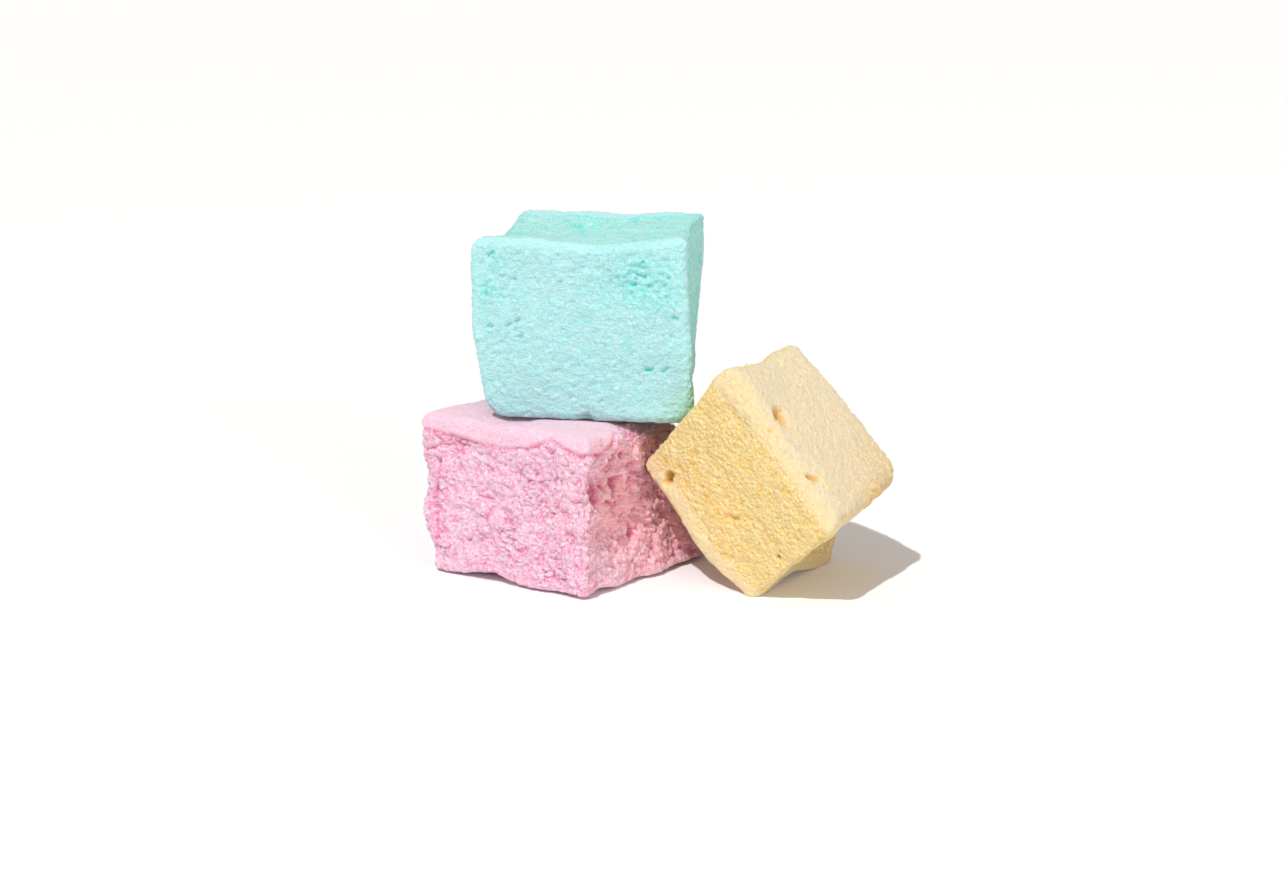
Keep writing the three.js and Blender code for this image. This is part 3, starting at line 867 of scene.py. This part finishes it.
def foam_material(name, look):
    """Powdered sugar foam: pale skins, cut walls, painted shade in creases, pits and hollows,
    painted bounce light and shade in spots, and a painted white glint on a few crystals.
    """
    g = Graph(name)
    place = g.attribute("place", "Vector")
    cut = g.attribute("cut")
    crease_shade_and_tone = g.attribute("crease_shade_and_tone")
    rim = g.attribute("rim")
    flush = g.attribute("flush")
    hollow_shade = g.attribute("hollow_shade")

    broad = g.noise(place, BROAD_PATCHES, 2.0)
    patchy = g.noise(place, SMALL_PATCHES, 3.0, 0.6)
    fine = g.noise(place, FINE_GRAIN, 3.0, 0.65)
    pits = Signal(g, g.cells(place, FINE_PITS)["Distance"])

    # Sugar crystals: the cells of a fine pattern, each with numbers of its own.
    crystals = g.cells(place, CRYSTALS)
    lottery = g.node("ShaderNodeSeparateColor", None, {"Color": crystals["Color"]}).outputs
    speck = Signal(g, lottery["Green"])

    # Painted shade: the crease colour goes into the creases, the pits between crumbs and the
    # finest pits of the bump, mixed with random patches and specks of deeper tone.
    pit_shade_and_mottle = pits.ramped(0.42, 0.72) * 0.6 + (0.5 - patchy) * 0.5 + (0.48 - fine) * 1.2
    pit_shade_and_freckles = (0.46 - fine + speck.ramped(0.7, 1.0) * 0.5) * look.pit_shade_and_freckle
    deep = (crease_shade_and_tone + cut * pit_shade_and_mottle * look.mottle_and_pit_shade + pit_shade_and_freckles).held()
    body = g.blend(cut, opaque(look.skin), opaque(look.wall))
    body = g.blend(rim, body, opaque(look.rim))
    # Painted bounce light and shade: the flush colour in the spots listed for each marshmallow.
    body = g.blend(flush, body, opaque(look.flush))
    # Painted shade: the crease colour in creases, pits, grooves and holes, with a darker tone on
    # worn skin and random patches.
    body = g.blend(deep * 0.85, body, opaque(look.crease_shade_and_tone))
    # Random broad patches of the same deeper tone, which the foam has under any light.
    body = g.blend((0.5 - broad) * look.mottle_and_pit_shade * 0.6, body, opaque(look.crease_shade_and_tone))
    # Painted shade: the darkest colour in the deepest hollows.
    body = g.blend(hollow_shade, body, opaque(look.hollow_shade))

    # Powder lies on it in patches, but hardly on the rims and not in the hollows.
    dusted = patchy + fine * 1.5 - 1.2 + speck.ramped(0.4, 0.0) * 0.3
    powder = (dusted * look.powder * 3.0).held()
    body = g.blend(powder * (1 - rim * 0.6) * (1 - hollow_shade), body, opaque(look.dusting))

    # A few crystals are smoother than the foam, and get a painted white glint in their colour.
    chosen = Signal(g, lottery["Red"]) + (patchy - 0.5) * 0.5 + (broad - 0.5) * 0.8
    inside = Signal(g, crystals["Distance"]).ramped(0.42, 0.28)
    glint = chosen.ramped(0.88, 0.94) * inside
    # Painted glint: white in the base colour of the chosen crystals.
    colour = g.blend(glint * look.painted_glint, body, opaque(WHITE))

    bump = fine * 0.7 + glint * 0.5 - pits * (0.3 + cut * 0.5)
    bumps = {"Strength": 0.8, "Distance": look.bump, "Height": bump}
    normal = g.node("ShaderNodeBump", None, bumps).outputs["Normal"]
    shader = g.node(
        "ShaderNodeBsdfPrincipled",
        {"subsurface_method": "RANDOM_WALK"},
        {
            "Base Color": colour,
            "Roughness": 0.92 - glint * 0.6,
            "Normal": normal,
            "IOR": 1.4,
            "Specular IOR Level": 0.35,
            "Subsurface Weight": look.glow,
            "Subsurface Radius": look.glow_colour,
            "Subsurface Scale": look.glow_depth,
            "Sheen Weight": 0.1,
            "Sheen Roughness": 0.6,
        },
    )
    g.node("ShaderNodeOutputMaterial", None, {"Surface": shader.outputs[0]})
    return g.material


def plain_material(name, colour, roughness):
    """One colour all over, with hardly any gloss."""
    g = Graph(name)
    sockets = {"Base Color": opaque(colour), "Roughness": roughness, "Specular IOR Level": 0.2}
    shader = g.node("ShaderNodeBsdfPrincipled", None, sockets)
    g.node("ShaderNodeOutputMaterial", None, {"Surface": shader.outputs[0]})
    return g.material


# ------------------------------------------------------------------------------ properties


def colour_property(name, description, default):
    """A colour that can be set in the panel."""
    return FloatVectorProperty(
        name=name, description=description, subtype="COLOR", size=3, min=0, max=1, default=default
    )


def share_property(name, description, default):
    """A number from 0 to 1 that can be set in the panel."""
    return FloatProperty(
        name=name, description=description, subtype="FACTOR", min=0.0, max=1.0, default=default
    )


def length_property(name, description, default):
    """A length in metres that can be set in the panel."""
    return FloatProperty(
        name=name,
        description=description,
        subtype="DISTANCE",
        unit="LENGTH",
        min=0.0,
        precision=5,
        default=default,
    )


def relief_property():
    """The strength of the fine relief that can be set in the panel."""
    return FloatProperty(
        name="Fine relief",
        description="Strength of the crumbs, cracks and wrinkles, 1 for as modelled",
        subtype="FACTOR",
        min=0.0,
        max=2.0,
        default=1.0,
    )


class PinkLook(bpy.types.PropertyGroup):
    """Finish of the pink marshmallow."""

    relief: relief_property()
    bump: length_property("Grain", "Height of the finest grain", 0.00055)
    skin: colour_property("Skin", "Powdered skin", (0.82, 0.55, 0.655))
    rim: colour_property("Rim", "Skin where it turns over the rim", (0.82, 0.54, 0.66))
    wall: colour_property("Wall", "Cut wall", (0.755, 0.54, 0.655))
    # Flush: painted reddish bounce light in the shaded right wall and torn corner.
    flush: colour_property("Flush", "Where the colour is deepest", (1.0, 0.46, 0.44))
    # Crease: colour of the painted shade in creases, pits, grooves and holes, also used for
    # random patches of tone.
    crease_shade_and_tone: colour_property("Crease", "Creases and holes", (0.8, 0.24, 0.4))
    # Hollow: colour of the darkest painted shade in the deepest hollows.
    hollow_shade: colour_property("Hollow", "Deepest hollows", (0.5, 0.1, 0.17))
    dusting: colour_property("Dusting", "Powder on it", (0.92, 0.68, 0.79))
    powder: share_property("Powder", "How much powder shows", 0.4)
    # Mottle: random unevenness of the colour, and how strongly painted shade fills the pits
    # between crumbs.
    mottle_and_pit_shade: share_property("Mottle", "Unevenness of the colour", 0.8)
    # Freckles: painted shade in the finest pits, with random specks of deeper colour.
    pit_shade_and_freckle: share_property("Freckles", "Deeper colour in the finest pits", 0.7)
    # Sparkle: strength of the painted white glint on a few crystals.
    painted_glint: share_property("Sparkle", "Whiteness of the sugar crystals", 0.8)
    glow: share_property("Glow", "Share of the light that goes into the foam", 0.35)
    glow_colour: colour_property("Glow colour", "How far each colour spreads", (1.0, 0.07, 0.1))
    glow_depth: length_property("Glow depth", "How far light spreads inside", 0.004)


class MintLook(bpy.types.PropertyGroup):
    """Finish of the mint marshmallow."""

    relief: relief_property()
    bump: length_property("Grain", "Height of the finest grain", 0.0007)
    skin: colour_property("Skin", "Powdered skin", (0.385, 0.7, 0.71))
    rim: colour_property("Rim", "Skin where it turns over the rim", (0.44, 0.76, 0.76))
    wall: colour_property("Wall", "Cut wall", (0.37, 0.8, 0.74))
    # Flush: painted yellow-green bounce light from the yellow marshmallow.
    flush: colour_property("Flush", "Where the colour is deepest", (0.5, 0.84, 0.38))
    # Crease: colour of the painted shade in creases, pits, grooves and holes, also used for
    # random patches of tone.
    crease_shade_and_tone: colour_property("Crease", "Creases and holes", (0.08, 0.68, 0.62))
    # Hollow: colour of the darkest painted shade in the deepest hollows.
    hollow_shade: colour_property("Hollow", "Deepest hollows", (0.05, 0.5, 0.46))
    dusting: colour_property("Dusting", "Powder on it", (0.56, 0.82, 0.84))
    powder: share_property("Powder", "How much powder shows", 0.5)
    # Mottle: random unevenness of the colour, and how strongly painted shade fills the pits
    # between crumbs.
    mottle_and_pit_shade: share_property("Mottle", "Unevenness of the colour", 0.25)
    # Freckles: painted shade in the finest pits, with random specks of deeper colour.
    pit_shade_and_freckle: share_property("Freckles", "Deeper colour in the finest pits", 0.35)
    # Sparkle: strength of the painted white glint on a few crystals.
    painted_glint: share_property("Sparkle", "Whiteness of the sugar crystals", 0.55)
    glow: share_property("Glow", "Share of the light that goes into the foam", 0.35)
    glow_colour: colour_property("Glow colour", "How far each colour spreads", (0.12, 1.0, 0.8))
    glow_depth: length_property("Glow depth", "How far light spreads inside", 0.0012)


class YellowLook(bpy.types.PropertyGroup):
    """Finish of the yellow marshmallow."""

    relief: relief_property()
    bump: length_property("Grain", "Height of the finest grain", 0.0006)
    skin: colour_property("Skin", "Powdered skin", (0.74, 0.625, 0.43))
    rim: colour_property("Rim", "Skin where it turns over the rim", (0.76, 0.62, 0.365))
    wall: colour_property("Wall", "Cut wall", (0.79, 0.61, 0.26))
    # Flush: painted shade on the foot.
    flush: colour_property("Flush", "Where the colour is deepest", (0.5, 0.29, 0.09))
    # Crease: colour of the painted shade in creases, pits, grooves and holes, also used for
    # random patches of tone.
    crease_shade_and_tone: colour_property("Crease", "Creases and holes", (0.8, 0.5, 0.1))
    # Hollow: colour of the darkest painted shade in the deepest hollows.
    hollow_shade: colour_property("Hollow", "Deepest hollows", (0.72, 0.41, 0.1))
    dusting: colour_property("Dusting", "Powder on it", (0.86, 0.74, 0.44))
    powder: share_property("Powder", "How much powder shows", 0.5)
    # Mottle: random unevenness of the colour, and how strongly painted shade fills the pits
    # between crumbs.
    mottle_and_pit_shade: share_property("Mottle", "Unevenness of the colour", 0.35)
    # Freckles: painted shade in the finest pits, with random specks of deeper colour.
    pit_shade_and_freckle: share_property("Freckles", "Deeper colour in the finest pits", 0.5)
    # Sparkle: strength of the painted white glint on a few crystals.
    painted_glint: share_property("Sparkle", "Whiteness of the sugar crystals", 0.3)
    glow: share_property("Glow", "Share of the light that goes into the foam", 0.35)
    glow_colour: colour_property("Glow colour", "How far each colour spreads", (1.0, 0.45, 0.08))
    glow_depth: length_property("Glow depth", "How far light spreads inside", 0.0015)


class HeapSettings(bpy.types.PropertyGroup):
    """What all three marshmallows and the stage share."""

    cells: IntProperty(
        name="Cells",
        description="Mesh cells along each edge of a marshmallow",
        min=20,
        max=128,
        default=127,
    )
    floor: colour_property("Floor", "Colour of the table", (0.91, 0.9, 0.91))
    floor_size: length_property("Floor size", "Width of the table top", 12.0)
    sun_power: FloatProperty(
        name="Sun", description="Strength of the main light", min=0.0, default=2.5
    )
    panel_power: FloatProperty(
        name="Front panel",
        description="Power of the soft light at the front right",
        subtype="POWER",
        unit="POWER",
        min=0.0,
        default=3.8,
    )
    sky_power: FloatProperty(
        name="Fill", description="Strength of the light from all round", min=0.0, default=0.49
    )


# ------------------------------------------------------------------------------- operators

FLOOR_DROP = 0.05  # how far the table top lies under the heap, so that they don't flicker
SUN_WIDTH = 1.5  # degrees across, which softens the shadow's outline
SHADOW_SHIFT = (0.34, 0.57)  # how far a shadow falls for each unit of height, along x and y
PANEL_SIZE = 0.6
PANEL_PLACE = (0.6, -0.9, 0.22)
PANEL_TURN = (80, 0, 33)
SKY_COLOUR = (1.0, 0.945, 0.89)
IMAGE_WIDTH = 1288
SENSOR_WIDTH = 36.0
CAMERA_FOCAL_PIXELS = 2500.0
CAMERA_PLACE = (15.29, -447.04, 127.99)
CAMERA_DROP = 13.0675  # degrees that the camera looks down
CAMERA_RANGE = (0.01, 100.0)


def sun_turn():
    """The sun lamp's rotation, from how far its shadows fall."""
    x, y = SHADOW_SHIFT
    return (math.atan(math.hypot(x, y)), 0, math.atan2(-x, y))


def build_marshmallow(block, rests, look, cells):
    """Adds one marshmallow to the scene in place of its CAD node."""
    points, quads, masks, place = block_points(block, rests, cells, look.relief)
    mesh = bpy.data.meshes.new(block.name + "_foam")
    mesh.from_pydata((points * MM).tolist(), [], quads.tolist())
    for name, values in masks.items():
        attribute = mesh.attributes.new(name, "FLOAT", "POINT")
        attribute.data.foreach_set("value", np.clip(values, 0, 1).astype(np.float32))
    attribute = mesh.attributes.new("place", "FLOAT_VECTOR", "POINT")
    attribute.data.foreach_set("vector", place.astype(np.float32).ravel())
    mesh.polygons.foreach_set("use_smooth", np.ones(len(quads), bool))
    mesh.update()
    if mesh.validate():
        raise RuntimeError(f"{block.name}: its mesh isn't sound")
    mesh.materials.append(foam_material(block.name + "_foam", look))
    piece = bpy.data.objects.new(block.name + "_foam", mesh)
    bpy.context.scene.collection.objects.link(piece)
    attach(piece, "root")
    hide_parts(block.name)


class HEAP_OT_pink(bpy.types.Operator):
    """Add the pink marshmallow that the heap stands on"""

    bl_idname = "heap.pink"
    bl_label = "Pink marshmallow"

    def execute(self, context):
        scene = context.scene
        build_marshmallow(Pink, PINK_RESTS, scene.pink_look, scene.heap.cells)
        return {"FINISHED"}


class HEAP_OT_mint(bpy.types.Operator):
    """Add the mint marshmallow that is stacked on the pink one"""

    bl_idname = "heap.mint"
    bl_label = "Mint marshmallow"

    def execute(self, context):
        scene = context.scene
        build_marshmallow(Mint, MINT_RESTS, scene.mint_look, scene.heap.cells)
        return {"FINISHED"}


class HEAP_OT_yellow(bpy.types.Operator):
    """Add the yellow marshmallow that leans on the pink one"""

    bl_idname = "heap.yellow"
    bl_label = "Yellow marshmallow"

    def execute(self, context):
        scene = context.scene
        build_marshmallow(Yellow, YELLOW_RESTS, scene.yellow_look, scene.heap.cells)
        return {"FINISHED"}


class HEAP_OT_stage(bpy.types.Operator):
    """Add the table, the light and the camera"""

    bl_idname = "heap.stage"
    bl_label = "Table, light and camera"

    def execute(self, context):
        scene = context.scene
        heap = scene.heap
        bpy.ops.mesh.primitive_plane_add(size=heap.floor_size, location=(0, 0, -FLOOR_DROP * MM))
        floor = context.object
        floor.name = "floor"
        floor.data.materials.append(plain_material("pale table", heap.floor, 0.8))

        sun = bpy.data.lights.new("sun", "SUN")
        sun.energy = heap.sun_power
        sun.angle = math.radians(SUN_WIDTH)
        lamp = bpy.data.objects.new("sun", sun)
        lamp.rotation_euler = sun_turn()
        scene.collection.objects.link(lamp)

        panel = bpy.data.lights.new("front panel", "AREA")
        panel.energy = heap.panel_power
        panel.size = PANEL_SIZE
        front = bpy.data.objects.new("front panel", panel)
        front.location = PANEL_PLACE
        front.rotation_euler = [math.radians(a) for a in PANEL_TURN]
        scene.collection.objects.link(front)

        world = bpy.data.worlds.new("studio")
        world.use_nodes = True
        background = world.node_tree.nodes["Background"]
        background.inputs["Color"].default_value = opaque(SKY_COLOUR)
        background.inputs["Strength"].default_value = heap.sky_power
        scene.world = world
        scene.view_settings.view_transform = "Standard"

        camera = bpy.data.cameras.new("camera")
        camera.sensor_width = SENSOR_WIDTH
        camera.lens = CAMERA_FOCAL_PIXELS / IMAGE_WIDTH * SENSOR_WIDTH
        camera.clip_start, camera.clip_end = CAMERA_RANGE
        viewer = bpy.data.objects.new("camera", camera)
        viewer.location = [c * MM for c in CAMERA_PLACE]
        viewer.rotation_euler = (math.radians(90 - CAMERA_DROP), 0, 0)
        scene.collection.objects.link(viewer)
        scene.camera = viewer
        return {"FINISHED"}


class HEAP_PT_panel(bpy.types.Panel):
    """The sidebar page that lists the pieces and their settings"""

    bl_label = "Marshmallows"
    bl_idname = "HEAP_PT_panel"
    bl_space_type = "VIEW_3D"
    bl_region_type = "UI"
    bl_category = "Marshmallows"

    def draw(self, context):
        scene = context.scene
        parts = (
            ("heap.pink", scene.pink_look),
            ("heap.mint", scene.mint_look),
            ("heap.yellow", scene.yellow_look),
            ("heap.stage", scene.heap),
        )
        for operator, settings in parts:
            box = self.layout.box()
            box.operator(operator)
            for name in settings.__annotations__:
                box.prop(settings, name)


CLASSES = (
    PinkLook,
    MintLook,
    YellowLook,
    HeapSettings,
    HEAP_OT_pink,
    HEAP_OT_mint,
    HEAP_OT_yellow,
    HEAP_OT_stage,
    HEAP_PT_panel,
)


def register():
    for cls in CLASSES:
        bpy.utils.register_class(cls)
    bpy.types.Scene.pink_look = PointerProperty(type=PinkLook)
    bpy.types.Scene.mint_look = PointerProperty(type=MintLook)
    bpy.types.Scene.yellow_look = PointerProperty(type=YellowLook)
    bpy.types.Scene.heap = PointerProperty(type=HeapSettings)


def unregister():
    for name in ("pink_look", "mint_look", "yellow_look", "heap"):
        delattr(bpy.types.Scene, name)
    for cls in reversed(CLASSES):
        bpy.utils.unregister_class(cls)


def main():
    register()
    bpy.ops.heap.stage()
    bpy.ops.heap.pink()
    bpy.ops.heap.mint()
    bpy.ops.heap.yellow()


if __name__ == "__main__":
    main()
